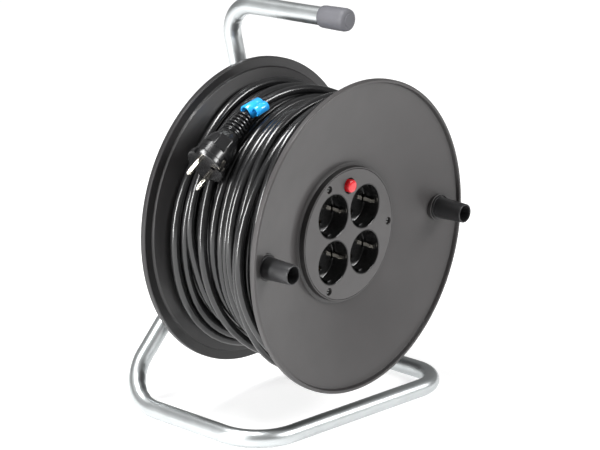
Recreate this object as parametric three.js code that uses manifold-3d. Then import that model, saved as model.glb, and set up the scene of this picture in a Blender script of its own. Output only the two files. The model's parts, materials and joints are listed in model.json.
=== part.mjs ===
// Extension cord reel: a plastic drum with a four-way socket face, turning on a bent steel tube stand.
// Millimetres. +X is right across the socket face, +Y is rearward along the axle, +Z is up.
// The stand rests on Z = 0, and the model's footprint is centred on the origin.
import * as THREE from 'three';
import { mergeVertices } from 'three/addons/utils/BufferGeometryUtils.js';
import Module from 'manifold-3d';

const wasm = await Module();
wasm.setup();

// ---------------------------------------------------------------- driving dimensions
const GAP = 0.3; // clearance between parts that touch

const FLANGE_R = 142.5; // outer radius of both flanges
const RIM_Y = 68.6; // outer rim plane of each flange, from the middle of the drum
const RIM_THICKNESS = 6;
const DISH_EDGE_R = 138.8; // where the dished disc meets the rim
const DISH_EDGE_Y = 65;
const HUB_FLAT_R = 64; // inside this radius the disc is flat
const HUB_FLAT_Y = 46;
const WALL = 3; // moulded wall
const CORE_R = 82; // barrel that the cord is wound on
const LATHE_SEGMENTS = 40;

const TUBE_R = 8.25; // stand tube
const TUBE_WALL = 1.5;
const TUBE_SIDES = 12;
const FLOOR_TUBE_Z = -166; // centre of the floor loop, from the drum axis
const DRUM_MIDDLE_Y = -16.17; // puts the footprint's middle at the origin
const TUBE_Y = 88.5; // tube centre where the axle bolt goes through it

const PLATE_Y = -52.3; // front face of the socket plate
const PLATE_R = 59.7;
const PLATE_THICKNESS = 2.8;
const SOCKET_SPACING = 21.5; // each socket's offset from the axle, both ways
const RECESS_R = 19.5; // earthed two-pin recess, 39 mm across
const RECESS_DEPTH = 17.5;
const PIN_SPACING = 19;
const PIN_R = 2.4;
const BUTTON_R = 5.6;
const BUTTON_Z = 45.2;
const BUTTON_TRAVEL = 2.5;
const PLATE_SCREW_R = 54.5; // circle of the three plate screws

const PEG_RADIUS = 118.5; // winding pegs, from the axle
const PEG_SEAT_Y = -60;
const PEG_TIP_Y = -91;

const CORD_R = 4.2; // three-core flexible cord, 8.4 mm
const TIE_SCREW_R = 74.5; // circle of the four screws that tie the drum together
const LEAD_Y = -11.5; // plane of the lead inside the core

// The stand's tube runs from the handle's free end, down behind the drum and round the floor loop.
const TUBE_CORNERS = [
  [0, -47.5, 194],
  [0, 96, 191],
  [25, 81, 36],
  [-120, 123, FLOOR_TUBE_Z],
  [-120, -50, FLOOR_TUBE_Z],
  [119, -75, FLOOR_TUBE_Z],
  [119, 110, FLOOR_TUBE_Z],
];
const BEND_RADII = [32, 45, 39, 44, 33];

// ---------------------------------------------------------------- materials
function paint(color, roughness, metalness) {
  return new THREE.MeshStandardMaterial({ color, roughness, metalness });
}

const COLOURS = {
  galvanised: [0xc9cdd0, 0.32, 0.95],
  steel: [0xb4b6b8, 0.35, 0.9],
  nickel: [0xd0c8b8, 0.25, 1],
  brass: [0xb8964a, 0.35, 1],
  flange: [0x3b393a, 0.55, 0],
  plate: [0x454344, 0.5, 0],
  gloss: [0x0c0c0d, 0.12, 0],
  black: [0x1a1a1b, 0.45, 0],
  cord: [0x161616, 0.4, 0],
  rubber: [0x56565a, 0.7, 0],
  nylon: [0xd8d6cc, 0.5, 0],
  red: [0xd0222c, 0.3, 0],
  blue: [0x1b9fe0, 0.3, 0],
};

// ---------------------------------------------------------------- solids
// A closed geometry becomes a solid for cutting and joining.
function solid(geometry, matrix = null) {
  const bare = geometry.index ? geometry.toNonIndexed() : geometry.clone();
  for (const name of Object.keys(bare.attributes)) if (name !== 'position') bare.deleteAttribute(name);
  if (matrix) bare.applyMatrix4(matrix);
  const merged = mergeVertices(bare, 1e-4);
  const index = merged.index.array;
  const triangles = [];
  for (let i = 0; i < index.length; i += 3) {
    const [a, b, c] = [index[i], index[i + 1], index[i + 2]];
    if (a !== b && b !== c && c !== a) triangles.push(a, b, c);
  }
  const build = (order) => new wasm.Manifold(new wasm.Mesh({
    numProp: 3,
    vertProperties: new Float32Array(merged.attributes.position.array),
    triVerts: new Uint32Array(order),
  }));
  const made = build(triangles);
  if (made.volume() > 0) return made;
  return build(triangles.reverse());
}

function geometryOf(body) {
  const mesh = body.getMesh();
  const geometry = new THREE.BufferGeometry();
  geometry.setAttribute('position', new THREE.BufferAttribute(new Float32Array(mesh.vertProperties), 3));
  geometry.setIndex(new THREE.BufferAttribute(new Uint32Array(mesh.triVerts), 1));
  return geometry;
}

const join = (first, ...others) => others.reduce((body, other) => body.add(other), first);
const cut = (first, ...others) => others.reduce((body, other) => body.subtract(other), first);

// A closed profile of [radius, y] points turned about the Y axis.
function turned(profile, segments = LATHE_SEGMENTS) {
  const points = profile.map(([radius, y]) => new THREE.Vector2(radius, y));
  const closed = profile[0][0] === 0 ? points : [...points, points[0].clone()];
  return solid(new THREE.LatheGeometry(closed, segments));
}

// A round bar along Y.
function bar(radius, y0, y1, segments = 32) {
  return turned([[0, y0], [radius, y0], [radius, y1], [0, y1]], segments);
}

// A round sleeve along Y.
function sleeve(outer, inner, y0, y1, segments = 32) {
  return turned([[inner, y0], [outer, y0], [outer, y1], [inner, y1]], segments);
}

function box(low, high) {
  const size = high.map((value, i) => value - low[i]);
  const centre = high.map((value, i) => (value + low[i]) / 2);
  return solid(new THREE.BoxGeometry(...size), new THREE.Matrix4().makeTranslation(...centre));
}

const moved = (body, x, y, z) => body.translate([x, y, z]);
const polar = (radius, degrees) => {
  const angle = THREE.MathUtils.degToRad(degrees);
  return [radius * Math.cos(angle), radius * Math.sin(angle)];
};

// ---------------------------------------------------------------- curves
// A path of straights joined by round bends. Each straight takes one step and each bend takes bendSteps.
class BentPath extends THREE.Curve {
  constructor(corners, radii, bendSteps) {
    super();
    const points = corners.map((corner) => new THREE.Vector3(...corner));
    this.knots = [{ point: points[0], tangent: points[1].clone().sub(points[0]).normalize() }];
    for (let i = 1; i < points.length - 1; i += 1) {
      const back = points[i - 1].clone().sub(points[i]).normalize();
      const ahead = points[i + 1].clone().sub(points[i]).normalize();
      const half = back.angleTo(ahead) / 2;
      const radius = radii[i - 1];
      const inward = back.clone().add(ahead).normalize();
      const middle = inward.multiplyScalar(radius / Math.sin(half)).add(points[i]);
      const start = back.clone().multiplyScalar(radius / Math.tan(half)).add(points[i]).sub(middle);
      const axis = back.clone().cross(ahead).normalize();
      const sweep = Math.PI - 2 * half;
      for (let step = 0; step <= bendSteps; step += 1) {
        const turn = -sweep * (step / bendSteps);
        const point = start.clone().applyAxisAngle(axis, turn).add(middle);
        const tangent = back.clone().negate().applyAxisAngle(axis, turn);
        this.knots.push({ point, tangent });
      }
    }
    const last = points.length - 1;
    this.knots.push({ point: points[last], tangent: points[last].clone().sub(points[last - 1]).normalize() });
    this.steps = this.knots.length - 1;
  }

  getPoint(t, target = new THREE.Vector3()) {
    const place = THREE.MathUtils.clamp(t * this.steps, 0, this.steps);
    const before = Math.min(Math.floor(place), this.steps - 1);
    return target.lerpVectors(this.knots[before].point, this.knots[before + 1].point, place - before);
  }

  getPointAt(u, target) {
    return this.getPoint(u, target);
  }

  getTangentAt(u, target = new THREE.Vector3()) {
    return target.copy(this.knots[Math.round(u * this.steps)].tangent);
  }
}

// A round section turned so that one of its flats faces the given way at one step of the path.
function roundSection(radius, sides, turn = 0) {
  return Array.from({ length: sides }, (_, i) => {
    const angle = turn + ((i + 0.5) / sides) * 2 * Math.PI;
    return new THREE.Vector2(radius * Math.cos(angle), radius * Math.sin(angle));
  });
}

function swept(path, steps, outer, inner, sides, turn = 0) {
  const shape = new THREE.Shape(roundSection(outer, sides, turn));
  if (inner > 0) shape.holes.push(new THREE.Path(roundSection(inner, sides, turn).reverse()));
  return solid(new THREE.ExtrudeGeometry(shape, { steps, extrudePath: path, curveSegments: sides }));
}

// The section's turn that brings a flat to face down at one step.
function turnToFaceDown(path, step) {
  const frames = path.computeFrenetFrames(path.steps, false);
  const down = new THREE.Vector3(0, 0, -1);
  return Math.atan2(down.dot(frames.binormals[step]), down.dot(frames.normals[step]));
}

// ---------------------------------------------------------------- scene helpers
const reel = new THREE.Group();
const stand = new THREE.Group();
const drum = new THREE.Group();
reel.add(stand, drum);

function part(group, name, body, colour, position = [0, 0, 0]) {
  const mesh = new THREE.Mesh(geometryOf(body), paint(...COLOURS[colour]));
  mesh.name = name;
  mesh.position.set(...position);
  group.add(mesh);
  return mesh;
}

// ---------------------------------------------------------------- stand
const BEND_STEPS = 5;
const tubePath = new BentPath(TUBE_CORNERS, BEND_RADII, BEND_STEPS);
const FRONT_BAR_STEP = 4 * (BEND_STEPS + 1) + 1;
const BOLT_R = 5;

function tubeSolid(outer, inner) {
  return swept(tubePath, tubePath.steps, outer, inner, TUBE_SIDES, turnToFaceDown(tubePath, FRONT_BAR_STEP));
}

function makeFrameTube() {
  const boltHole = bar(BOLT_R + GAP, TUBE_Y - 20, TUBE_Y + 20, 24);
  part(stand, 'frame_tube', cut(tubeSolid(TUBE_R, TUBE_R - TUBE_WALL), boltHole), 'galvanised');
}

// The rubber cap on the handle is a cup with a raised disc on its closed end.
function makeHandleCap() {
  const [, tipY, tipZ] = TUBE_CORNERS[0];
  const rise = Math.atan2(TUBE_CORNERS[0][2] - TUBE_CORNERS[1][2], TUBE_CORNERS[1][1] - TUBE_CORNERS[0][1]);
  const bore = TUBE_R + GAP;
  const endY = -3.6;
  const profile = [
    [0, endY], [6, endY], [6.2, endY + 0.8], [8, endY + 0.9], [9.7, endY + 2], [10.3, endY + 4], [10.2, 10],
    [9.9, 25.5], [9.5, 27], [bore, 27], [bore, -GAP], [0, -GAP],
  ];
  const cap = part(stand, 'handle_cap', turned(profile, 20), 'rubber', [0, tipY, tipZ]);
  cap.rotation.x = -rise;
}

// The free end of the floor loop is closed by a push-in plug.
function makeFootPlug() {
  const [endX, endY, endZ] = TUBE_CORNERS[6];
  const shank = TUBE_R - TUBE_WALL - GAP;
  const profile = [
    [0, -18], [shank - 1, -18], [shank, -15], [shank, GAP], [TUBE_R * 0.97, GAP], [TUBE_R * 0.97, 2],
    [TUBE_R - 2, 4], [0, 4.6],
  ];
  part(stand, 'foot_plug', turned(profile, 16), 'rubber', [endX, endY, endZ]);
}

// ---------------------------------------------------------------- axle, fixed to the stand
const SLEEVE_R = 7;
const NUT_CORNER_R = 9.6;
const BOSS_FRONT_Y = 13;
const BOSS_REAR_Y = 62.5;

function makeAxle() {
  const tubeClearance = tubeSolid(TUBE_R + GAP, 0);
  const front = sleeve(13, BOLT_R + GAP, 66.3, TUBE_Y, 20);
  const rear = sleeve(13, BOLT_R + GAP, TUBE_Y, 101.2, 20);
  part(stand, 'axle_spacer', cut(front, tubeClearance), 'black');
  part(stand, 'saddle_washer', cut(rear, tubeClearance), 'steel');
  part(stand, 'thrust_washer', sleeve(14, SLEEVE_R + GAP, BOSS_REAR_Y + GAP, 66, 20), 'nylon');
  part(stand, 'axle_sleeve', sleeve(SLEEVE_R, BOLT_R + 0.4, BOSS_FRONT_Y - GAP, 66, 20), 'steel');
  part(stand, 'retaining_washer', sleeve(15, BOLT_R + GAP, 9.9, BOSS_FRONT_Y - 2 * GAP, 20), 'steel');
  const nut = cut(bar(NUT_CORNER_R, 1.6, 9.6, 6), bar(BOLT_R + GAP, 0, 12, 20));
  part(stand, 'lock_nut', nut, 'steel');
  const head = bar(NUT_CORNER_R, 101.5, 108, 6);
  part(stand, 'axle_bolt', join(head, bar(BOLT_R, -0.6, 102, 20)), 'steel');
}

// ---------------------------------------------------------------- drum flanges
const DISH_SLOPE = (DISH_EDGE_Y - HUB_FLAT_Y) / (DISH_EDGE_R - HUB_FLAT_R);
const dishOuterY = (radius) => HUB_FLAT_Y + DISH_SLOPE * Math.max(0, radius - HUB_FLAT_R);
const dishInnerY = (radius) => dishOuterY(radius) - WALL * 1.05;
const LOCATING_LIP_R = CORE_R - WALL - GAP;
const LIP_END_Y = 38;
const RIM_BAND_R = 134; // inside this radius the winding side steps down to the dish

// The half-section that both flanges share, from the barrel's lip out round the rim.
function flangeProfile(innerProfile) {
  return [
    ...innerProfile,
    [LOCATING_LIP_R - 2.5, dishInnerY(LOCATING_LIP_R - 2.5)],
    [LOCATING_LIP_R - 2.5, LIP_END_Y],
    [LOCATING_LIP_R, LIP_END_Y],
    [LOCATING_LIP_R, dishInnerY(LOCATING_LIP_R)],
    [RIM_BAND_R - 1, dishInnerY(RIM_BAND_R - 1)],
    [RIM_BAND_R, RIM_Y - RIM_THICKNESS],
    [FLANGE_R - 0.7, RIM_Y - RIM_THICKNESS],
    [FLANGE_R, RIM_Y - RIM_THICKNESS + 0.7],
    [FLANGE_R, RIM_Y - 1.2],
    [FLANGE_R - 1.2, RIM_Y],
    [DISH_EDGE_R + 0.8, RIM_Y - 0.8],
    [DISH_EDGE_R, DISH_EDGE_Y],
  ];
}

const mirrored = (profile) => profile.map(([radius, y]) => [radius, -y]).reverse();

const REAR_RIBS = 8;
const TIE_ANGLES = [45, 135, 225, 315];
const TIE_HEAD_SEAT_Y = dishOuterY(TIE_SCREW_R) - 1.2;
const TIE_POST_R = 4.1;

function makeRearFlange() {
  const boreR = SLEEVE_R + 0.2;
  const profile = flangeProfile([
    [boreR, BOSS_FRONT_Y],
    [15, BOSS_FRONT_Y],
    [17, HUB_FLAT_Y - 6],
    [22, HUB_FLAT_Y - WALL],
    [HUB_FLAT_R, HUB_FLAT_Y - WALL],
  ]);
  profile.push(
    [HUB_FLAT_R, HUB_FLAT_Y],
    [19, HUB_FLAT_Y],
    [16, HUB_FLAT_Y + 3],
    [15, BOSS_REAR_Y],
    [boreR, BOSS_REAR_Y],
  );
  let body = turned(profile);
  for (let i = 0; i < REAR_RIBS; i += 1) {
    const angle = (i + 0.5) * (2 * Math.PI / REAR_RIBS);
    const outline = new THREE.Shape([
      new THREE.Vector2(14.5, HUB_FLAT_Y - 1),
      new THREE.Vector2(HUB_FLAT_R + 2, HUB_FLAT_Y - 1),
      new THREE.Vector2(DISH_EDGE_R - 8, dishOuterY(DISH_EDGE_R - 8) - 1),
      new THREE.Vector2(DISH_EDGE_R - 8, dishOuterY(DISH_EDGE_R - 8) + 0.5),
      new THREE.Vector2(DISH_EDGE_R - 30, dishOuterY(DISH_EDGE_R - 30) + 3),
      new THREE.Vector2(HUB_FLAT_R, HUB_FLAT_Y + 7),
      new THREE.Vector2(14.5, BOSS_REAR_Y - 3),
    ]);
    const rib = new THREE.ExtrudeGeometry(outline, { depth: 2, bevelEnabled: false });
    rib.translate(0, 0, -1);
    body = join(body, solid(rib, new THREE.Matrix4().makeRotationY(angle)));
  }
  for (const degrees of TIE_ANGLES) {
    const [x, z] = polar(TIE_SCREW_R, degrees);
    const seat = join(bar(6.5, dishInnerY(CORE_R), TIE_HEAD_SEAT_Y, 14), bar(TIE_POST_R, LIP_END_Y, 47, 14));
    body = join(body, moved(seat, x, 0, z));
    body = cut(body, moved(bar(5, TIE_HEAD_SEAT_Y, 80, 14), x, 0, z), moved(bar(2.6, 30, 80, 10), x, 0, z));
  }
  part(drum, 'rear_flange', body, 'flange');
}

const BOSS_OUTER_R = 62.2;
const BOSS_INNER_R = PLATE_R + GAP;
const PLATE_BACK_Y = -PLATE_Y - PLATE_THICKNESS;
const LEDGE_INNER_R = 58.6;
const HOUSING_LIP_Y = 42.4;

function makeFrontFlange() {
  const front = flangeProfile([
    [LEDGE_INNER_R, HOUSING_LIP_Y + GAP],
    [HUB_FLAT_R, HUB_FLAT_Y - WALL],
  ]);
  front.push(
    [HUB_FLAT_R + 2.5, dishOuterY(HUB_FLAT_R + 2.5)],
    [HUB_FLAT_R, HUB_FLAT_Y + 0.9],
    [BOSS_OUTER_R + 0.6, HUB_FLAT_Y + 2.6],
    [BOSS_OUTER_R, -PLATE_Y - 0.7],
    [BOSS_OUTER_R - 0.7, -PLATE_Y],
    [BOSS_INNER_R, -PLATE_Y],
    [BOSS_INNER_R, PLATE_BACK_Y - GAP],
    [LEDGE_INNER_R, PLATE_BACK_Y - GAP],
  );
  let body = turned(mirrored(front));
  for (const side of [-1, 1]) {
    const x = side * PEG_RADIUS;
    const pad = bar(12.5, PEG_SEAT_Y, PEG_SEAT_Y + WALL, 20);
    body = join(body, moved(pad, x, 0, 0));
    body = cut(body, moved(bar(11.4, PEG_SEAT_Y - 10, PEG_SEAT_Y, 20), x, 0, 0));
    body = cut(body, moved(bar(3.8, -70, -50, 12), x, 0, 0));
  }
  for (const degrees of TIE_ANGLES) {
    const [x, z] = polar(TIE_SCREW_R, degrees);
    const seatY = -dishInnerY(TIE_SCREW_R);
    const pilot = bar(TIE_POST_R, seatY - 1, -LIP_END_Y, 12);
    body = join(body, moved(pilot, x, 0, z));
    body = cut(body, moved(bar(2.3, seatY, seatY + 10, 10), x, 0, z));
  }
  part(drum, 'front_flange', body, 'flange');
}

// ---------------------------------------------------------------- core and its fasteners
const CORE_END_Y = dishInnerY(CORE_R - WALL) - GAP;
const SPIRAL_SLOPE = 17 / 70; // how fast the lead climbs to the barrel, mm per degree
const EXIT_ANGLE = 125; // where the cord passes out through the barrel, degrees

// The lead inside the core is a flat spiral about the axle.
function leadPath(fromDegrees, toDegrees) {
  const points = [];
  const count = 14;
  for (let i = 0; i <= count; i += 1) {
    const degrees = fromDegrees + ((toDegrees - fromDegrees) * i) / count;
    const [x, z] = polar(CORE_R - SPIRAL_SLOPE * (EXIT_ANGLE - degrees), degrees);
    points.push(new THREE.Vector3(x, LEAD_Y, z));
  }
  return new THREE.CatmullRomCurve3(points);
}

function makeCore() {
  let body = sleeve(CORE_R, CORE_R - WALL, -CORE_END_Y, CORE_END_Y, LATHE_SEGMENTS);
  for (const degrees of TIE_ANGLES) {
    const [x, z] = polar(TIE_SCREW_R, degrees);
    body = join(body, moved(bar(5, GAP - LIP_END_Y, LIP_END_Y - GAP, 14), x, 0, z));
    body = cut(body, moved(bar(2.6, -60, 60, 10), x, 0, z));
  }
  const slot = swept(leadPath(92, 150), 10, 7.4, 0, 12);
  part(drum, 'drum_core', cut(body, slot), 'black');
}

function makeTieScrews() {
  const endY = -dishInnerY(TIE_SCREW_R) + 1;
  TIE_ANGLES.forEach((degrees, i) => {
    const [x, z] = polar(TIE_SCREW_R, degrees);
    const profile = [
      [0, endY],
      [2, endY],
      [2, TIE_HEAD_SEAT_Y + GAP],
      [4.4, TIE_HEAD_SEAT_Y + GAP],
      [4.4, TIE_HEAD_SEAT_Y + 1.6],
      [3.4, TIE_HEAD_SEAT_Y + 2.8],
      [0, TIE_HEAD_SEAT_Y + 2.8],
    ];
    part(drum, `tie_screw_${i + 1}`, turned(profile, 12), 'steel', [x, 0, z]);
  });
}

// ---------------------------------------------------------------- socket face
const SOCKETS = [
  [-SOCKET_SPACING, SOCKET_SPACING],
  [SOCKET_SPACING, SOCKET_SPACING],
  [-SOCKET_SPACING, -SOCKET_SPACING],
  [SOCKET_SPACING, -SOCKET_SPACING],
];
const SCREW_ANGLES = [0, 120, 240];
const INSERT_NECK_R = 20.2;
const INSERT_BODY_R = 21;
const INSERT_BACK = 20; // depth of an insert behind the plate face
const BUTTON_HOLE_R = 7.2;

function makePlate() {
  let body = turned([
    [0, PLATE_Y],
    [PLATE_R - 0.5, PLATE_Y],
    [PLATE_R, PLATE_Y + 0.5],
    [PLATE_R, -PLATE_BACK_Y],
    [0, -PLATE_BACK_Y],
  ]);
  for (const [x, z] of SOCKETS) body = cut(body, moved(bar(INSERT_NECK_R + 0.4, -60, -40, 28), x, 0, z));
  body = cut(body, moved(bar(BUTTON_HOLE_R, -60, -40, 20), 0, 0, BUTTON_Z));
  for (const degrees of SCREW_ANGLES) {
    const [x, z] = polar(PLATE_SCREW_R, degrees);
    body = join(body, moved(bar(3.9, -PLATE_BACK_Y - 0.5, PLATE_Y + 6, 14), x, 0, z));
    body = cut(body, moved(bar(3.4, -60, PLATE_Y + 3.6, 14), x, 0, z));
    body = cut(body, moved(bar(1.9, -60, -40, 10), x, 0, z));
  }
  part(drum, 'socket_plate', body, 'plate');
}

function makeSocketInserts() {
  const profile = [
    [0, RECESS_DEPTH], [RECESS_R, RECESS_DEPTH], [RECESS_R, 0.4], [RECESS_R + 0.3, 0], [INSERT_NECK_R, 0],
    [INSERT_NECK_R, 3.2], [INSERT_BODY_R, 3.2], [INSERT_BODY_R, INSERT_BACK], [0, INSERT_BACK],
  ];
  let body = turned(profile, 28);
  for (const side of [-1, 1]) {
    const lug = box([-2.6, 5, side * 18.6 - 1.3], [2.6, RECESS_DEPTH + 0.5, side * 18.6 + 1.3]);
    body = join(body, lug);
    const pinZ = side * PIN_SPACING / 2;
    body = cut(body, moved(bar(2.7, 10, 30, 12), 0, 0, pinZ));
    body = cut(body, box([side * 17.6 - 1.4, 10, -3.6], [side * 17.6 + 1.4, 30, 3.6]));
  }
  SOCKETS.forEach(([x, z], i) => part(drum, `socket_insert_${i + 1}`, body, 'gloss', [x, PLATE_Y, z]));
}

const STRAP_THICKNESS = 0.8;
// Each earth strap is one bent strip: a bar behind the insert with a sprung arm up each side.
function makeEarthStraps() {
  const backY = INSERT_BACK + GAP;
  const right = [
    [18, backY + STRAP_THICKNESS],
    [18, 12],
    [16.3, 7.5],
    [17.8, 3.7],
    [16.9, 3.4],
    [15.4, 7.5],
    [17.1, 12],
    [17.1, backY],
  ];
  const points = [...right, ...right.slice().reverse().map(([x, y]) => [-x, y])];
  const shape = new THREE.Shape(points.map(([x, y]) => new THREE.Vector2(x, y)));
  const strip = new THREE.ExtrudeGeometry(shape, { depth: 6, bevelEnabled: false });
  strip.translate(0, 0, -3);
  const body = solid(strip);
  SOCKETS.forEach(([x, z], i) => part(drum, `earth_strap_${i + 1}`, body, 'nickel', [x, PLATE_Y, z]));
}

// Four pin sleeves joined by a strip; one bar carries the line and the other the neutral.
function makeBusBars() {
  const build = (name, pinSide, riserX, stripY, linkZ) => {
    let body = null;
    for (const [x, z] of SOCKETS) {
      const pinZ = z + pinSide * PIN_SPACING / 2;
      const pipe = sleeve(3.5, PIN_R + 0.1, INSERT_BACK + GAP, stripY + 0.4, 12);
      const cap = bar(3.5, stripY, stripY + 0.8, 12);
      const ends = [x, Math.sign(x) * riserX];
      const tab = box([Math.min(...ends), stripY, pinZ - 2], [Math.max(...ends), stripY + 0.8, pinZ + 2]);
      const pieces = join(moved(pipe, x, 0, pinZ), moved(cap, x, 0, pinZ), tab);
      body = body ? join(body, pieces) : pieces;
    }
    const low = -SOCKET_SPACING + pinSide * PIN_SPACING / 2;
    const high = SOCKET_SPACING + pinSide * PIN_SPACING / 2;
    for (const side of [-1, 1]) {
      const inner = side * riserX - 2;
      body = join(body, box([inner, stripY, low - 2], [inner + 4, stripY + 0.8, high + 2]));
    }
    body = join(body, box([-riserX, stripY, linkZ - 2], [riserX, stripY + 0.8, linkZ + 2]));
    part(drum, name, body, 'brass', [0, PLATE_Y, 0]);
  };
  build('line_bus_bar', 1, 27.5, 27, SOCKET_SPACING + PIN_SPACING / 2);
  build('neutral_bus_bar', -1, 15.5, 30, -SOCKET_SPACING - PIN_SPACING / 2);
}

// A closed pot behind the plate keeps the live parts in; its posts take the three plate screws.
const HOUSING_BACK_Y = -16.3;
function makeContactHousing() {
  const profile = [
    [0, HOUSING_BACK_Y - 2], [55.6, HOUSING_BACK_Y - 2], [55.6, -HOUSING_LIP_Y], [67, -HOUSING_LIP_Y],
    [67, -HOUSING_LIP_Y + 2], [57.8, -HOUSING_LIP_Y + 2], [57.8, HOUSING_BACK_Y], [0, HOUSING_BACK_Y],
  ];
  let body = turned(profile, 40);
  for (const degrees of SCREW_ANGLES) {
    const [x, z] = polar(PLATE_SCREW_R, degrees);
    body = join(body, moved(bar(3.7, PLATE_Y + 6 + GAP, HOUSING_BACK_Y - 1, 12), x, 0, z));
    body = cut(body, moved(bar(1.4, -60, PLATE_Y + 20, 8), x, 0, z));
  }
  part(drum, 'contact_housing', body, 'black');
}

function makePlateScrews() {
  const headY = PLATE_Y + 3.6 - GAP;
  let body = join(bar(3, headY - 1.9, headY, 14), bar(1.2, headY - 0.5, PLATE_Y + 18, 8));
  for (const turn of [0, Math.PI / 2]) {
    const slot = new THREE.BoxGeometry(3.6, 2, 0.8);
    const matrix = new THREE.Matrix4().makeRotationY(turn).setPosition(0, headY - 1.9, 0);
    body = cut(body, solid(slot, matrix));
  }
  SCREW_ANGLES.forEach((degrees, i) => {
    const [x, z] = polar(PLATE_SCREW_R, degrees);
    part(drum, `plate_screw_${i + 1}`, body, 'steel', [x, 0, z]);
  });
}

// ---------------------------------------------------------------- overload cut-out and its reset button
const CUTOUT_BORE_R = 6;
const CUTOUT_FLOOR_Y = -37.5;
const BUTTON_BACK_Y = -43.8;
function makeCutout() {
  const frontY = -PLATE_BACK_Y + GAP;
  const shell = box([-7, frontY, BUTTON_Z - 5], [7, -24, BUTTON_Z + 5]);
  const collar = moved(bar(8, frontY, -40, 20), 0, 0, BUTTON_Z);
  const stemBore = moved(bar(CUTOUT_BORE_R, -60, BUTTON_BACK_Y + BUTTON_TRAVEL + GAP, 20), 0, 0, BUTTON_Z);
  const springBore = moved(bar(4.4, -60, CUTOUT_FLOOR_Y, 16), 0, 0, BUTTON_Z);
  part(drum, 'thermal_cutout', cut(join(shell, collar), stemBore, springBore), 'black');
}

function makeResetButton() {
  const face = PLATE_Y - 3;
  const profile = [
    [0, face + 0.5], [2.2, face + 0.5], [2.8, face], [BUTTON_R - 0.7, face], [BUTTON_R, face + 0.7],
    [BUTTON_R, BUTTON_BACK_Y], [0, BUTTON_BACK_Y],
  ];
  part(drum, 'reset_button', turned(profile, 20), 'red', [0, 0, BUTTON_Z]);
  const spring = sleeve(3.6, 2.4, BUTTON_BACK_Y + GAP, CUTOUT_FLOOR_Y - GAP, 12);
  part(drum, 'button_spring', spring, 'steel', [0, 0, BUTTON_Z]);
}

// ---------------------------------------------------------------- winding pegs
const PEG_PIN_R = 4.6;
const PEG_BORE_R = 4.9;
const PEG_SHOULDER_Y = -75;

function makePegs() {
  const sleeveProfile = [
    [PEG_BORE_R, PEG_SHOULDER_Y], [7.4, PEG_SHOULDER_Y], [7.4, PEG_TIP_Y + 0.6], [7.8, PEG_TIP_Y],
    [8.6, PEG_TIP_Y + 0.1], [8.9, PEG_TIP_Y + 0.8], [8.8, PEG_TIP_Y + 3], [10, PEG_SEAT_Y - 3.2],
    [10, PEG_SEAT_Y - 2], [PEG_BORE_R, PEG_SEAT_Y - 2],
  ];
  const pinProfile = [
    [0, PEG_SHOULDER_Y - 2.4],
    [5.4, PEG_SHOULDER_Y - 2.4],
    [6.4, PEG_SHOULDER_Y - 1.2],
    [6.4, PEG_SHOULDER_Y - GAP],
    [PEG_PIN_R, PEG_SHOULDER_Y - GAP],
    [PEG_PIN_R, PEG_SEAT_Y - 1.7],
    [10.8, PEG_SEAT_Y - 1.7],
    [10.8, PEG_SEAT_Y - GAP],
    [3.5, PEG_SEAT_Y - GAP],
    [3.5, PEG_SEAT_Y + 2.6],
    [0, PEG_SEAT_Y + 2.6],
  ];
  for (const [name, side] of [['left', -1], ['right', 1]]) {
    const place = [side * PEG_RADIUS, 0, 0];
    part(drum, `peg_pin_${name}`, turned(pinProfile, 20), 'black', place);
    part(drum, `winding_peg_${name}`, turned(sleeveProfile, 24), 'black', place);
  }
}

// ---------------------------------------------------------------- cord and plug
const WINDING_INNER_R = CORE_R + 2 * GAP;
const WINDING_SIDE_GAP = 0.5;
const windingSideY = (radius) => dishInnerY(radius) - WINDING_SIDE_GAP;
// The wound cord's outer outline, [y, radius]: a valley where the plug lies, and a ridge by the front flange.
const WINDING_OUTLINE = [
  [windingSideY(121), 121], [43, 120], [34, 114], [-4, 112], [-18, 123], [-34, 130], [-50, 133], [-56.4, 131],
];

const PLUG_FACE_R = 18.5;
const PLUG_LENGTH = 40;
const RELIEF_LENGTH = 25;
const PLUG_PIN_LENGTH = 19;
// The plug lies along the winding: where its pins end, and where the cord goes into its strain relief.
const PLUG_TIP = new THREE.Vector3(-131.6, 14.3, 64.5);
const PLUG_TAIL = new THREE.Vector3(-60.4, 15.5, 109);
const PLUG_PIN_LINE = new THREE.Vector3(0.53, -0.02, -0.84); // from the first pin towards the second
const CLIP_PLACE = 0.05; // along the free stretch of cord

function makeWinding() {
  const innerY = windingSideY(WINDING_INNER_R);
  const outer = WINDING_OUTLINE.map(([y, radius]) => [radius, y]);
  const profile = [[WINDING_INNER_R, -innerY], [WINDING_INNER_R, innerY], ...outer];
  part(drum, 'cord_winding', turned(profile, 40), 'cord');
}

// The cord from the plug to the winding, [degrees about the axle, radius, y].
const TAIL_ROUTE = [
  [111, 125, 14.6], [104, 123.2, 12.2], [96, 121.6, 10.2], [87, 120.4, 8.6], [77, 119.5, 7], [66, 118.5, 5],
  [55, 118, 2], [44, 118, -2], [34, 118, -6], [25, 118.5, -9], [17, 119, -12],
];

function tailPath() {
  const start = PLUG_TAIL.clone();
  const along = PLUG_TAIL.clone().sub(PLUG_TIP).normalize();
  const points = [start.clone().addScaledVector(along, GAP), start.clone().addScaledVector(along, 9)];
  for (const [degrees, radius, y] of TAIL_ROUTE) {
    const [x, z] = polar(radius, degrees);
    points.push(new THREE.Vector3(x, y, z));
  }
  return new THREE.CatmullRomCurve3(points, false, 'centripetal');
}

function makeTail() {
  const tube = swept(tailPath(), 16, CORD_R, 0, 8);
  const grown = WINDING_OUTLINE.map(([y, radius]) => [radius + GAP, y]);
  const floor = [grown[0], grown[grown.length - 1]].map(([, y]) => [CORE_R, y]);
  const cutter = turned([floor[0], ...grown, floor[1]], 40);
  part(drum, 'cord_tail', cut(tube, cutter), 'cord');
}

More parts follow.
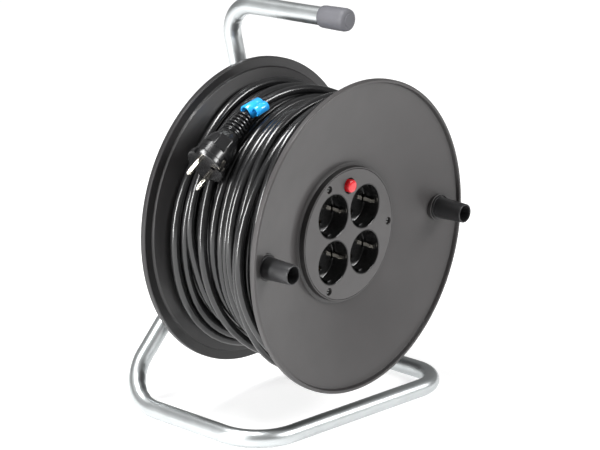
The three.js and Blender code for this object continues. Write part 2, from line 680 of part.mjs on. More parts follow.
// Inside the core the lead is clamped to the back of the contact housing and ends in a terminal block.
const LEAD_END_ANGLE = -12;
const CLAMP_ANGLE = 12;
function makeLead() {
  const lead = swept(leadPath(LEAD_END_ANGLE, 118), 16, CORD_R, 0, 10).intersect(bar(CORE_R, -40, 40, 40));
  part(drum, 'inner_lead', lead, 'cord');
  const bore = swept(leadPath(90, 150), 10, CORD_R + GAP, 0, 10);
  const collar = cut(swept(leadPath(96, 146), 8, 6.9, 0, 12), bore);
  const window = box([-80, -30, 30], [60, 10, 90]);
  part(drum, 'cord_grommet', collar.intersect(bar(CORE_R + 0.2, -40, 40, 48)).intersect(window), 'rubber');
}

// A piece on the back of the housing, turned so that its X runs outward from the axle.
function onHousing(name, body, colour, radius, degrees) {
  const [x, z] = polar(radius, degrees);
  const mesh = part(drum, name, body, colour, [x, 0, z]);
  mesh.rotation.y = -THREE.MathUtils.degToRad(degrees);
}

function makeClampAndTerminals() {
  const seatY = HOUSING_BACK_Y + GAP;
  const leadTop = LEAD_Y + CORD_R + GAP;
  const radius = CORE_R - SPIRAL_SLOPE * (EXIT_ANGLE - CLAMP_ANGLE);
  const ears = box([-12.5, seatY, -4], [12.5, seatY + 2.4, 4]);
  const arch = box([-7.6, seatY, -4], [7.6, leadTop + 1.8, 4]);
  const channel = box([-6, seatY - 1, -5], [6, leadTop, 5]);
  const holes = [-10.1, 10.1].map((x) => moved(bar(1.7, seatY - 1, 0, 12), x, 0, 0));
  onHousing('cord_clamp', cut(join(ears, arch), channel, ...holes), 'nylon', radius, CLAMP_ANGLE);
  const screw = join(bar(1.4, seatY + 0.1, seatY + 3, 12), bar(2.1, seatY + 2.7, seatY + 3.9, 12));
  onHousing('clamp_screw_1', screw, 'steel', radius - 10.1, CLAMP_ANGLE);
  onHousing('clamp_screw_2', screw, 'steel', radius + 10.1, CLAMP_ANGLE);
  const block = box([-7, seatY, -11], [7, seatY + 10, 11]);
  const ports = [-6, 0, 6].map((z) => moved(bar(2, seatY + 5, seatY + 12, 12), 0, 0, z));
  onHousing('terminal_block', cut(block, ...ports), 'nylon', 47, LEAD_END_ANGLE - 16);
}

// ---------------------------------------------------------------- plug
// In the plug's own frame +Y runs along its pins, the pins are spaced along X, and Y = 0 is its face.
const plug = new THREE.Group();
drum.add(plug);

function placePlug() {
  const along = PLUG_TIP.clone().sub(PLUG_TAIL).normalize();
  const across = PLUG_PIN_LINE.clone().addScaledVector(along, -PLUG_PIN_LINE.dot(along)).normalize();
  const third = across.clone().cross(along);
  plug.quaternion.setFromRotationMatrix(new THREE.Matrix4().makeBasis(across, along, third));
  plug.position.copy(PLUG_TIP).addScaledVector(along, -PLUG_PIN_LENGTH);
}

function makePlugBody() {
  const profile = [
    [0, -PLUG_LENGTH],
    [8.8, -PLUG_LENGTH],
    [10.5, -35],
    [14.6, -27],
    [16.6, -17],
    [16.8, -7],
    [PLUG_FACE_R, -5],
    [PLUG_FACE_R, -0.8],
    [PLUG_FACE_R - 0.8, 0],
    [0, 0],
  ];
  let body = turned(profile, 28);
  for (const side of [-1, 1]) {
    body = cut(body, box([-3.3, -12, side * 17.6 - 1.6], [3.3, 1, side * 17.6 + 1.6]));
    body = cut(body, box([side * 17.6 - 1.5, -12, -2.8], [side * 17.6 + 1.5, 1, 2.8]));
    body = cut(body, moved(bar(PIN_R + GAP, -8, 1, 12), side * PIN_SPACING / 2, 0, 0));
    body = cut(body, box([-5.5, -27, side * 16 - 2], [5.5, -16, side * 16 + 2]));
  }
  part(plug, 'plug_body', cut(body, moved(bar(2.5, -14, 1, 12), 0, 0, -9.8)), 'black');
  const pin = turned([
    [0, -7.6],
    [PIN_R, -7.6],
    [PIN_R, PLUG_PIN_LENGTH - 1.6],
    [1.3, PLUG_PIN_LENGTH - 0.2],
    [0, PLUG_PIN_LENGTH],
  ], 16);
  const contact = box([-2.9, -11.6, -0.4], [2.9, -0.3, 0.4]);
  [-1, 1].forEach((side, i) => {
    part(plug, `plug_pin_${i + 1}`, pin, 'nickel', [side * PIN_SPACING / 2, 0, 0]);
    part(plug, `plug_earth_contact_${i + 1}`, contact, 'brass', [0, 0, side * 16.9]);
  });
}

function makeStrainRelief() {
  const ribs = 6;
  const startY = -PLUG_LENGTH - GAP;
  const pitch = (RELIEF_LENGTH - 2) / ribs;
  const profile = [[0, startY], [8.4, startY]];
  for (let i = 0; i < ribs; i += 1) {
    const radius = 9.4 - (i * 2.5) / ribs;
    const y = startY - 0.6 - i * pitch;
    profile.push([radius, y - 0.4], [radius, y - 2.2]);
    profile.push([radius - 2.2, y - 2.6], [radius - 2.2, y - pitch + 0.2]);
  }
  const endY = startY - RELIEF_LENGTH + GAP;
  profile.push([6.2, endY + 0.7], [5.8, endY], [0, endY]);
  part(plug, 'plug_strain_relief', turned(profile, 12), 'black');
}

// The clip rings the cord just behind the strain relief and reaches over to the next turn.
function makeClip() {
  const path = tailPath();
  const centre = path.getPointAt(CLIP_PLACE);
  const along = path.getTangentAt(CLIP_PLACE);
  const outward = new THREE.Vector3(centre.x, 0, centre.z).normalize();
  outward.addScaledVector(along, -outward.dot(along)).normalize();
  const ring = sleeve(7.3, CORD_R + 1.6, -8, 8, 20);
  const arm = box([5.6, -8, -5.4], [8, 8, 4]);
  const roof = box([5.6, -8, 1.8], [13.4, 8, 4]);
  const lip = box([11.8, -8, -4.5], [13.4, 8, 4]);
  const clip = part(drum, 'plug_clip', join(ring, arm, roof, lip), 'blue', centre.toArray());
  const sideways = along.clone().cross(outward);
  clip.quaternion.setFromRotationMatrix(new THREE.Matrix4().makeBasis(sideways, along, outward));
}

makeFrameTube();
makeHandleCap();
makeFootPlug();
makeAxle();
makeRearFlange();
makeFrontFlange();
makeCore();
makeTieScrews();
makePlate();
makeSocketInserts();
makeEarthStraps();
makeBusBars();
makeContactHousing();
makePlateScrews();
makeCutout();
makeResetButton();
makePegs();
makeWinding();
makeTail();
makeLead();
makeClampAndTerminals();
placePlug();
makePlugBody();
makeStrainRelief();
makeClip();

reel.position.set(0, DRUM_MIDDLE_Y, TUBE_R * Math.cos(Math.PI / TUBE_SIDES) - FLOOR_TUBE_Z);

export default reel;
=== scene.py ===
import json
import math
import random

import bmesh
import bpy
from mathutils import Matrix, Vector


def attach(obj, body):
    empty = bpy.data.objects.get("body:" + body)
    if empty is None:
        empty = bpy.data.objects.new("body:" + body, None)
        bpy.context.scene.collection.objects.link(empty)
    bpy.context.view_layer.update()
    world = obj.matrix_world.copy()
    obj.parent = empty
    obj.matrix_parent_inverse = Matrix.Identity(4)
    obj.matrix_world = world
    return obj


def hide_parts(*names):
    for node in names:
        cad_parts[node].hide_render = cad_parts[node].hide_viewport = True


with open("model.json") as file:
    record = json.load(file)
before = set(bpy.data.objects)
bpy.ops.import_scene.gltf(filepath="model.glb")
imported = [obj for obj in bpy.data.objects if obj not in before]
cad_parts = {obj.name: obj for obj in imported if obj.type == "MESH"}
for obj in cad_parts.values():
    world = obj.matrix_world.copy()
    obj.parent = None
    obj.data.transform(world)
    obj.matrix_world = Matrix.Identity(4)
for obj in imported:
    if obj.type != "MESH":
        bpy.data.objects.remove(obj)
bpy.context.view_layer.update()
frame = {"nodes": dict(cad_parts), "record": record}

# An extension cord reel. Its shapes are in mm from the drum's middle on its axle, with Y along the axle and
# the socket face at -Y; at() and placed() take them to the frame's metres.
MM = 0.001
JOINTS = {joint["name"]: joint for joint in frame["record"]["behaviour"]["joints"]}
AXLE = Vector(JOINTS["drum_spin"]["pos_m"])


def at(x, y, z):
    """A place given in mm from the drum's middle, in the frame's metres."""
    return AXLE + Vector((x, y, z)) * MM


def polar(radius, degrees):
    angle = math.radians(degrees)
    return radius * math.cos(angle), radius * math.sin(angle)


# ---------------------------------------------------------------- camera
CAMERA_AZIMUTH = 48.53  # degrees
CAMERA_ELEVATION = 17.39
CAMERA_LENS = 136.9
CAMERA_DISTANCE = 2067
CAMERA_RIGHT = -4.9
CAMERA_UP = -2.0


def make_camera():
    azimuth, elevation = math.radians(CAMERA_AZIMUTH), math.radians(CAMERA_ELEVATION)
    back = Vector((-math.sin(azimuth) * math.cos(elevation), -math.cos(azimuth) * math.cos(elevation),
                   math.sin(elevation)))
    right = Vector((math.cos(azimuth), -math.sin(azimuth), 0))
    up = back.cross(right)
    data = bpy.data.cameras.new("camera")
    data.sensor_width = 36
    data.lens = CAMERA_LENS
    data.clip_end = 50
    camera = bpy.data.objects.new("camera", data)
    place = AXLE + (back * CAMERA_DISTANCE + right * CAMERA_RIGHT + up * CAMERA_UP) * MM
    camera.matrix_world = Matrix.Translation(place) @ Matrix((right, up, back)).transposed().to_4x4()
    bpy.context.collection.objects.link(camera)
    bpy.context.scene.camera = camera


make_camera()


# ---------------------------------------------------------------- materials
COAT_ROUGHNESS = 0.12
OPEN_SKY = 0.95  # a spot this open gets no painted shade, only its base colour
DEEP_CORNER = 0.35  # a spot this hidden gets the darkest painted shade
# The fraction of the base colour left where the painted shade is darkest.
PAINTED_SHADE_TONE = 0.12
SCRATCH_SCALE = (60, 900, 900)


def tones(color, spread):
    return [tuple(min(1, c * k) for c in color) + (1,) for k in (1 - spread, 1, 1 + spread)]


def surface(name, color, rough, metal=0.0, tint=0.12, tint_scale=40, grain=900, relief=0.00004,
            rough_spread=0.06, coat=0.0, specular=0.5, painted_shade=0.0, scratches=0.0):
    """A procedural finish: broad colour and gloss changes, fine relief, and painted shade (base colour darkened
    in corners and recesses) where painted_shade is set.

    relief, painted_shade and scratches are distances in metres.
    """
    mat = bpy.data.materials.new(name)
    mat.use_nodes = True
    nodes, links = mat.node_tree.nodes, mat.node_tree.links
    shader = nodes["Principled BSDF"]
    shader.inputs["Metallic"].default_value = metal
    shader.inputs["Specular IOR Level"].default_value = specular
    shader.inputs["Coat Weight"].default_value = coat
    shader.inputs["Coat Roughness"].default_value = COAT_ROUGHNESS
    coords = nodes.new("ShaderNodeTexCoord")

    def noise(scale, detail, source):
        node = nodes.new("ShaderNodeTexNoise")
        node.inputs["Scale"].default_value = scale
        node.inputs["Detail"].default_value = detail
        links.new(source, node.inputs["Vector"])
        return node.outputs["Fac"]

    broad = noise(tint_scale, 3, coords.outputs["Object"])
    ramp = nodes.new("ShaderNodeValToRGB")
    low, middle, high = tones(color, tint)
    ramp.color_ramp.elements[0].position, ramp.color_ramp.elements[0].color = 0.3, low
    ramp.color_ramp.elements[1].position, ramp.color_ramp.elements[1].color = 0.7, high
    ramp.color_ramp.elements.new(0.5).color = middle
    links.new(broad, ramp.inputs["Fac"])
    colour_out = ramp.outputs["Color"]
    # Painted shade: the base colour is darkened where the ambient-occlusion node finds surfaces close by, in
    # corners and recesses, standing in for the shade that falls there.
    if painted_shade:
        corner = nodes.new("ShaderNodeAmbientOcclusion")
        corner.samples = 8
        corner.inputs["Distance"].default_value = painted_shade
        depth = nodes.new("ShaderNodeMapRange")
        depth.inputs["From Min"].default_value = DEEP_CORNER
        depth.inputs["From Max"].default_value = OPEN_SKY
        depth.inputs["To Min"].default_value = PAINTED_SHADE_TONE
        links.new(corner.outputs["AO"], depth.inputs["Value"])
        mix = nodes.new("ShaderNodeVectorMath")
        mix.operation = "SCALE"
        links.new(colour_out, mix.inputs[0])
        links.new(depth.outputs["Result"], mix.inputs["Scale"])
        colour_out = mix.outputs["Vector"]
    links.new(colour_out, shader.inputs["Base Color"])
    gloss = nodes.new("ShaderNodeMapRange")
    gloss.inputs["To Min"].default_value = max(0.02, rough - rough_spread)
    gloss.inputs["To Max"].default_value = rough + rough_spread
    links.new(noise(tint_scale * 3, 5, coords.outputs["Object"]), gloss.inputs["Value"])
    links.new(gloss.outputs["Result"], shader.inputs["Roughness"])
    height = noise(grain, 4, coords.outputs["Object"])
    bump = nodes.new("ShaderNodeBump")
    bump.inputs["Strength"].default_value = 1
    bump.inputs["Distance"].default_value = relief
    links.new(height, bump.inputs["Height"])
    if scratches:
        lines = nodes.new("ShaderNodeMapping")
        lines.inputs["Scale"].default_value = SCRATCH_SCALE
        links.new(coords.outputs["Object"], lines.inputs["Vector"])
        second = nodes.new("ShaderNodeBump")
        second.inputs["Distance"].default_value = scratches
        links.new(noise(1, 2, lines.outputs["Vector"]), second.inputs["Height"])
        links.new(second.outputs["Normal"], bump.inputs["Normal"])
    links.new(bump.outputs["Normal"], shader.inputs["Normal"])
    return mat


MATERIALS = {
    "galvanised_tube": surface("galvanised", (0.56, 0.585, 0.59), 0.36, 1.0, tint=0.06, tint_scale=30,
                               grain=700, relief=0.000012, rough_spread=0.05, scratches=0.00001),
    "grey_rubber": surface("grey_rubber", (0.085, 0.085, 0.095), 0.62, tint=0.1, grain=1400,
                           relief=0.00003),
    "black_plastic": surface("black_plastic", (0.020, 0.020, 0.021), 0.33, tint=0.2, grain=1200,
                             relief=0.00002),
    "zinc_steel": surface("zinc_steel", (0.55, 0.56, 0.55), 0.3, 1.0, tint=0.08, grain=700, relief=0.00002),
    "natural_nylon": surface("natural_nylon", (0.6, 0.58, 0.5), 0.45, tint=0.06, grain=600),
    # Both flange finishes carry painted shade: their base colour is darkened in corners through painted_shade.
    "flange_plastic": surface("flange_plastic", (0.037, 0.034, 0.034), 0.5, tint=0.1, tint_scale=18,
                              grain=1500, relief=0.00006, rough_spread=0.05, painted_shade=0.014, coat=0.2),
    # A darker copy of the flange plastic for the rear flange: painted shade for the shadow that the front flange
    # and the winding cast on it.
    "rear_plastic_painted_shade": surface("rear_plastic_painted_shade", (0.012, 0.011, 0.0115), 0.45, tint=0.1, tint_scale=18,
                            grain=1500, relief=0.00006, rough_spread=0.05, painted_shade=0.014, coat=0.2),
    "plate_plastic": surface("plate_plastic", (0.036, 0.033, 0.033), 0.42, tint=0.08, grain=1800,
                             relief=0.00003, coat=0.3),
    "gloss_black": surface("gloss_black", (0.010, 0.010, 0.010), 0.14, tint=0.2, grain=300, relief=0.00001,
                           coat=0.5),
    "nickel": surface("nickel", (0.76, 0.72, 0.64), 0.18, 1.0, tint=0.06, grain=500, relief=0.00001),
    "brass": surface("brass", (0.60, 0.42, 0.18), 0.3, 1.0, tint=0.1, grain=500, relief=0.00002),
    "red_plastic": surface("red_plastic", (0.62, 0.012, 0.02), 0.2, tint=0.08, grain=400, relief=0.00001,
                           coat=0.4),
    "cord_rubber": surface("cord_rubber", (0.011, 0.011, 0.0115), 0.22, tint=0.25, tint_scale=25,
                           grain=500, relief=0.00003, rough_spread=0.06, specular=0.65),
    "plug_rubber": surface("plug_rubber", (0.0075, 0.0075, 0.008), 0.24, tint=0.2, grain=900,
                           relief=0.00003, specular=0.65),
    "blue_plastic": surface("blue_plastic", (0.018, 0.33, 0.80), 0.24, tint=0.12, grain=300,
                            relief=0.00001, coat=0.4),
}
SLOT_OF = {part["node"]: part["material_slot"] for part in frame["record"]["subparts"]}


# ---------------------------------------------------------------- mesh helpers
def rounded(profile, steps=4):
    """Rounds the corners of a closed [r, y] or [r, y, radius] outline."""
    out = []
    count = len(profile)
    for i, corner in enumerate(profile):
        here = Vector(corner[:2])
        radius = corner[2] if len(corner) > 2 else 0.25
        back = Vector(profile[i - 1][:2]) - here
        ahead = Vector(profile[(i + 1) % count][:2]) - here
        angle = back.angle(ahead)
        if radius <= 0 or corner[0] <= 0 or angle > 3.1:
            out.append(tuple(here))
            continue
        reach = min(radius / math.tan(angle / 2), 0.45 * back.length, 0.45 * ahead.length)
        start = here + back.normalized() * reach
        end = here + ahead.normalized() * reach
        for step in range(steps + 1):
            t = step / steps
            out.append(tuple(start.lerp(here, t).lerp(here.lerp(end, t), t)))
    return out


def spin(bm, profile, segments, place=Matrix.Identity(4)):
    """Turns a closed [r, y] outline about Y. Its numbers are in mm, and place takes them to the row frame."""
    rings = []
    for radius, y in profile:
        if radius <= 1e-6:
            rings.append([bm.verts.new(place @ Vector((0, y, 0)))])
            continue
        rings.append([bm.verts.new(place @ Vector((radius * math.cos(2 * math.pi * k / segments), y,
                                                   radius * math.sin(2 * math.pi * k / segments))))
                      for k in range(segments)])
    for i, ring in enumerate(rings):
        other = rings[(i + 1) % len(rings)]
        if len(ring) == 1 and len(other) == 1:
            continue
        for k in range(segments):
            n = (k + 1) % segments
            if len(ring) == 1:
                bm.faces.new((ring[0], other[k], other[n]))
            elif len(other) == 1:
                bm.faces.new((ring[k], other[0], ring[n]))
            else:
                bm.faces.new((ring[k], other[k], other[n], ring[n]))


def placed(x=0, y=0, z=0, turn=None):
    """The matrix that takes a shape in mm to its place in the frame."""
    matrix = Matrix.Translation(at(x, y, z))
    if turn is not None:
        matrix = matrix @ turn.to_4x4()
    return matrix @ Matrix.Scale(MM, 4)


def piece(name, bm, body, replaced, slot=None, angle=35, merge=True):
    """Makes a mesh object that stands for CAD nodes and rides on a body."""
    if merge:
        bmesh.ops.remove_doubles(bm, verts=bm.verts, dist=1e-7)
    bmesh.ops.recalc_face_normals(bm, faces=bm.faces)
    mesh = bpy.data.meshes.new(name)
    bm.to_mesh(mesh)
    bm.free()
    mesh.polygons.foreach_set("use_smooth", [True] * len(mesh.polygons))
    mesh.set_sharp_from_angle(angle=math.radians(angle))
    slot = slot or SLOT_OF[replaced[0]]
    mesh.materials.append(MATERIALS[slot])
    obj = bpy.data.objects.new(name, mesh)
    bpy.context.collection.objects.link(obj)
    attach(obj, body)
    if replaced:
        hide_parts(*replaced)
    return obj


def turned(name, profile, body, replaced, place=None, segments=64, slot=None, angle=35, steps=4):
    bm = bmesh.new()
    spin(bm, rounded(profile, steps), segments, placed() if place is None else place)
    return piece(name, bm, body, replaced, slot, angle)


def block(bm, low, high, place=Matrix.Identity(4), bevel=0.0):
    """A box between two corners in mm, with rounded edges."""
    made = bmesh.ops.create_cube(bm, size=1)["verts"]
    size = Vector(high) - Vector(low)
    middle = (Vector(high) + Vector(low)) / 2
    for vert in made:
        vert.co = Vector((vert.co.x * size.x, vert.co.y * size.y, vert.co.z * size.z)) + middle
    if bevel:
        edges = list({edge for vert in made for edge in vert.link_edges})
        made = bmesh.ops.bevel(bm, geom=edges, offset=bevel, segments=2, profile=0.5, affect="EDGES")["verts"]
    for vert in made:
        vert.co = place @ vert.co


def prism(bm, outline, half, place):
    """A flat outline in the X-Y plane, given thickness to either side of it."""
    fronts = [bm.verts.new(place @ Vector((x, y, -half))) for x, y in outline]
    backs = [bm.verts.new(place @ Vector((x, y, half))) for x, y in outline]
    bm.faces.new(fronts)
    bm.faces.new(backs)
    for k in range(len(outline)):
        n = (k + 1) % len(outline)
        bm.faces.new((fronts[k], fronts[n], backs[n], backs[k]))


def carve(obj, tools, operation="DIFFERENCE"):
    """Cuts closed tool meshes out of a piece, or joins them to it."""
    for bm in tools:
        bmesh.ops.recalc_face_normals(bm, faces=bm.faces)
        mesh = bpy.data.meshes.new("tool")
        bm.to_mesh(mesh)
        bm.free()
        tool = bpy.data.objects.new("tool", mesh)
        bpy.context.collection.objects.link(tool)
        modifier = obj.modifiers.new("carve", "BOOLEAN")
        modifier.operation, modifier.object, modifier.solver = operation, tool, "EXACT"
        result = bpy.data.meshes.new_from_object(obj.evaluated_get(bpy.context.evaluated_depsgraph_get()))
        obj.modifiers.clear()
        old, obj.data = obj.data, result
        bpy.data.meshes.remove(old)
        bpy.data.objects.remove(tool)
        bpy.data.meshes.remove(mesh)
    obj.data.polygons.foreach_set("use_smooth", [True] * len(obj.data.polygons))
    obj.data.set_sharp_from_angle(angle=math.radians(32))


def tool_spin(profile, place, segments=32):
    bm = bmesh.new()
    spin(bm, profile, segments, place)
    return bm


def tool_bar(radius, y0, y1, place, segments=32):
    return tool_spin([(0, y0), (radius, y0), (radius, y1), (0, y1)], place, segments)


def tool_box(low, high, place, bevel=0.0):
    bm = bmesh.new()
    block(bm, low, high, place, bevel)
    return bm


def sweep(bm, points, radii, sides, shape=None):
    """A closed tube along points in the row frame. shape may change a radius by step and direction."""
    last = len(points) - 1
    tangents = [(points[min(i + 1, last)] - points[max(i - 1, 0)]).normalized() for i in range(last + 1)]
    normal = tangents[0].orthogonal().normalized()
    rings = []
    for i, point in enumerate(points):
        if i:
            normal = tangents[i - 1].rotation_difference(tangents[i]) @ normal
        side = tangents[i].cross(normal).normalized()
        ring = []
        for k in range(sides):
            angle = 2 * math.pi * k / sides
            direction = normal * math.cos(angle) + side * math.sin(angle)
            radius = radii[i] + (shape(i, direction) if shape else 0)
            ring.append(bm.verts.new(point + direction * radius))
        rings.append(ring)
    for ring, other in zip(rings, rings[1:]):
        for k in range(sides):
            bm.faces.new((ring[k], ring[(k + 1) % sides], other[(k + 1) % sides], other[k]))
    bm.faces.new(rings[0])
    bm.faces.new(rings[-1])


# ---------------------------------------------------------------- cord, wound turn by turn
DISH_MIDDLE = 46
DISH_START = 64
DISH_SLOPE = 0.25401
WINDING_SLOPE = 0.254
WALL = 3.15
CORD_R = 4.2
CORD_D = 2 * CORD_R
CORE_R = 82.0
SLOTS = 60
EXIT_ANGLE = 125
LEAD_Y = -11.5
PLUG_TIP = Vector((-131.6, 14.3, 64.5))
PLUG_TAIL = Vector((-60.4, 15.5, 109))
PLUG_PIN_LINE = Vector((0.53, -0.02, -0.84))
# The free stretch from the plug to the winding, [degrees about the axle, radius, y].
TAIL_ROUTE = [(111, 125, 14.6), (104, 123.2, 12.2), (96, 121.6, 10.2), (87, 120.4, 8.6), (77, 119.5, 7),
              (66, 118.5, 5), (55, 118, 2), (44, 118, -2), (34, 118, -6), (25, 118.5, -9), (17, 119, -12)]
# How high the strands' centres may pile up, [y, radius], in mm.
PILE = [(-58, 126), (-48, 127.5), (-34, 125.5), (-22, 121), (-10, 115.5), (2, 110.5), (28, 112),
        (38, 115.5), (46, 119), (52, 120.5)]
PILE_SLACK = 2.2
SEED = 7
SEAM = 50  # the slot where each turn steps over to its next place
STEP_OVER = 9  # how many slots that takes
MOST_MISSES = 30
SIDE_GAP = 0.4
SETTLE = 150  # the last turn has at least this many degrees to reach the tail's route
LIFT_BEGIN = 75  # degrees before its end where the last turn starts to rise to the tail
LIFT_OVER = 60
LEAD_STEP = 2.2  # degrees between the points of the cord's first stretch, inside the barrel
LEAD_DROP = 17 / 70  # how fast that stretch goes inwards, in mm per degree


def along(table, x):
    """Reads a value at x from [x, value] rows, in straight lines between them."""
    if x <= table[0][0]:
        return table[0][1]
    for (x0, v0), (x1, v1) in zip(table, table[1:]):
        if x <= x1:
            return v0 + (v1 - v0) * (x - x0) / (x1 - x0)
    return table[-1][1]


def dish(radius):
    """How far a flange's outer face is from the middle at a radius."""
    return DISH_MIDDLE + DISH_SLOPE * max(0, radius - DISH_START)


def under(radius):
    """The same for its inner face."""
    return dish(radius) - WALL


def side_limit(radius):
    """How far from the middle a strand's centre may lie at a radius."""
    return DISH_MIDDLE + WINDING_SLOPE * max(0, radius - DISH_START) - WALL - CORD_R - SIDE_GAP


def wind():
    """Lays the cord on the barrel turn by turn, each nesting on what lies under it.

    Returns the route as [degrees, radius, y], and a function for the height at which a strand would rest.
    """
    rng = random.Random(SEED)
    laid = [[] for _ in range(SLOTS)]
    route = []
    common = [(n, rng.uniform(0, 6.28), rng.uniform(0.5, 1)) for n in (1, 2, 3)]

    def sway(step):
        x = step * 2 * math.pi / SLOTS
        return 0.8 * sum(a * math.sin(n * x + p) / n for n, p, a in common)

    def rest(step, y):
        best = CORE_R + CORD_R
        for other_y, other_r in laid[step % SLOTS]:
            gap = abs(other_y - y)
            if gap < CORD_D:
                best = max(best, other_r + math.sqrt(CORD_D ** 2 - gap ** 2))
        return best

    def typical(y):
        seen = sorted(rest(step, y + sway(step)) for step in range(0, SLOTS - 10, 5))
        return seen[len(seen) // 2]

    def lay(first, ys, nest):
        """Lets a strand slide into the valleys near its line, then follows the heights smoothly."""
        for _ in range(3 if nest else 0):
            for k, y in enumerate(ys):
                ys[k] = min((rest(first + k, y + d) + 0.25 * abs(d), y + d) for d in (-1, -0.5, 0, 0.5, 1))[1]
            ys[1:-1] = [(p + 2 * q + r) / 4 for p, q, r in zip(ys, ys[1:], ys[2:])]
        raws = []
        for k in range(len(ys)):
            limit = side_limit(rest(first + k, ys[k]))
            ys[k] = max(-limit, min(limit, ys[k]))
            raws.append(rest(first + k, ys[k]))
        for k in range(len(ys)):
            window = [max(raws[max(0, j - 1):j + 2]) for j in range(max(0, k - 1), min(len(ys), k + 2))]
            radius = max(raws[k] - 0.5, sum(window) / len(window))
            laid[(first + k) % SLOTS].append((ys[k], radius))
            route.append([(first + k) * 360 / SLOTS, radius, ys[k]])

    step = round(EXIT_ANGLE / 360 * SLOTS)
    y, way, layer, misses = LEAD_Y, -1, 0, 0
    lay(step, [y + sway(step + k) for k in range(SEAM - step)], False)
    step = SEAM
    while misses < MOST_MISSES:
        loose = max(0, layer - 2)
        ideal = CORD_D * (1.03 + 0.02 * loose)
        choices = []
        for k in range(-5, 6):
            goal = y + way * (ideal + 0.3 * k)
            height = typical(goal)
            limit = side_limit(height)
            if abs(goal) <= limit + 0.2:
                choices.append((height + 0.35 * abs(k), goal, height))
        if not choices:
            way, layer, y = -way, layer + 1, y + way * CORD_D * 0.5
            misses += 1
            continue
        _, goal, height = min(choices)
        if height > along(PILE, goal) + PILE_SLACK:
            y = goal
            misses += 1
            continue
        misses = 0
        begin = route[-1][2] - sway(step - 1)
        own = [(rng.uniform(1, 4), rng.uniform(0, 6.28)) for _ in range(3)]
        ys = []
        for k in range(SLOTS):
            t = min(1, k / STEP_OVER)
            line = begin + (goal - begin) * t * t * (3 - 2 * t)
            fade = min(1, (SLOTS - k) / 8, k / 8)
            own_sway = sum(math.sin(n * k * 2 * math.pi / SLOTS + p) for n, p in own) * 0.35 * loose * fade
            ys.append(line + sway(step + k) + own_sway)
        lay(step, ys, layer < 4)
        step += SLOTS
        y = goal
    return route, rest


def smoothed(route, rounds=2):
    for _ in range(rounds):
        route = [route[0]] + [[b[0], (a[1] + 2 * b[1] + c[1]) / 4, (a[2] + 2 * b[2] + c[2]) / 4]
                              for a, b, c in zip(route, route[1:], route[2:])] + [route[-1]]
    return route


def last_turn(last, rest):
    """Leads the winding's last strand over the others to the tail's route, where it rises to the plug."""
    tail = [(degrees, y) for degrees, _, y in reversed(TAIL_ROUTE)]
    full = 360 * math.ceil((last[0] + SETTLE - tail[0][0]) / 360)
    join = [(last[0], last[2])] + [(degrees + full, y) for degrees, y in tail]
    end_angle = join[-1][0]
    first = round(last[0] * SLOTS / 360) + 1
    closing = []
    for step in range(first, int(end_angle * SLOTS / 360) + 1):
        degrees = step * 360 / SLOTS
        if degrees < join[1][0]:
            t = (degrees - join[0][0]) / (join[1][0] - join[0][0])
            y = join[0][1] + (join[1][1] - join[0][1]) * t * t * (3 - 2 * t)
        else:
            y = along(join, degrees)
        closing.append([degrees, rest(step, y), y])
    lift = [(d + full, r) for d, r, _ in reversed(TAIL_ROUTE)]
    for row in closing:
        weight = max(0, min(1, (row[0] - (end_angle - LIFT_BEGIN)) / LIFT_OVER))
        row[1] = row[1] * (1 - weight) + max(row[1], along(lift, row[0])) * weight
    peak = [max(r[1] for r in closing[max(0, i - 2):i + 3]) for i in range(len(closing))]
    for row, value in zip(closing, peak):
        row[1] = value
    return closing


def cord_points(route):
    """The cord's whole line in the row frame, from inside the barrel to the end that goes into the plug."""
    points = []
    for back in (6, 5, 4):
        degrees = EXIT_ANGLE - back * LEAD_STEP
        x, z = polar(CORE_R - LEAD_DROP * (EXIT_ANGLE - degrees), degrees)
        points.append(at(x, LEAD_Y, z))
    for degrees, radius, y in smoothed(route, 2)[1:]:
        x, z = polar(radius, degrees)
        points.append(at(x, y, z))
    direction = (PLUG_TAIL - PLUG_TIP).normalized()
    for gap in (9, 5, 0.3):
        points.append(at(*(PLUG_TAIL + direction * gap)))
    return points


def make_cord():
    route, rest = wind()
    turns = len(route) / SLOTS
    last = route[-1]
    points = cord_points(route[:-1] + smoothed([last] + last_turn(last, rest), 4))
    data = bpy.data.curves.new("cord", "CURVE")
    data.dimensions = "3D"
    data.bevel_depth = CORD_R * MM
    data.bevel_resolution = 4
    data.use_fill_caps = True
    spline = data.splines.new("POLY")
    spline.points.add(len(points) - 1)
    for target, point in zip(spline.points, points):
        target.co = (*point, 1)
    spline.use_smooth = True
    data.materials.append(MATERIALS["cord_rubber"])
    obj = bpy.data.objects.new("cord", data)
    bpy.context.collection.objects.link(obj)
    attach(obj, "drum")
    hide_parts("cord_winding", "cord_tail")
    length = sum((b - a).length for a, b in zip(points, points[1:]))
    print("cord length", round(length, 2), "turns", round(turns, 1), "points", len(points))
    return obj, length, points[0]


CORD, CORD_LENGTH, CORD_START = make_cord()


# ---------------------------------------------------------------- drum flanges
PEG_X = 118.5
TIE_SPOTS = [polar(74.5, degrees) for degrees in (45, 135, 225, 315)]
RIM = [(134, 62.6, 0.6), (141.9, 62.6, 0.8), (142.5, 63.4, 0.5), (142.5, 67.6, 0.8), (141.4, 68.6, 0.6),
       (139.7, 68.3, 0.3), (139.2, 67.1, 0.3), (138.6, 64.9, 0.4)]
# The lip on a flange's inner face that the barrel sits in.
LIP = [(76.2, under(76.2)), (76.2, 38), (78.7, 38), (78.7, under(78.7))]


def dish_rings(stops):
    return [(radius, dish(radius), 0) for radius in stops]


def mirrored(profile):
    return [(corner[0], -corner[1], *corner[2:]) for corner in profile]


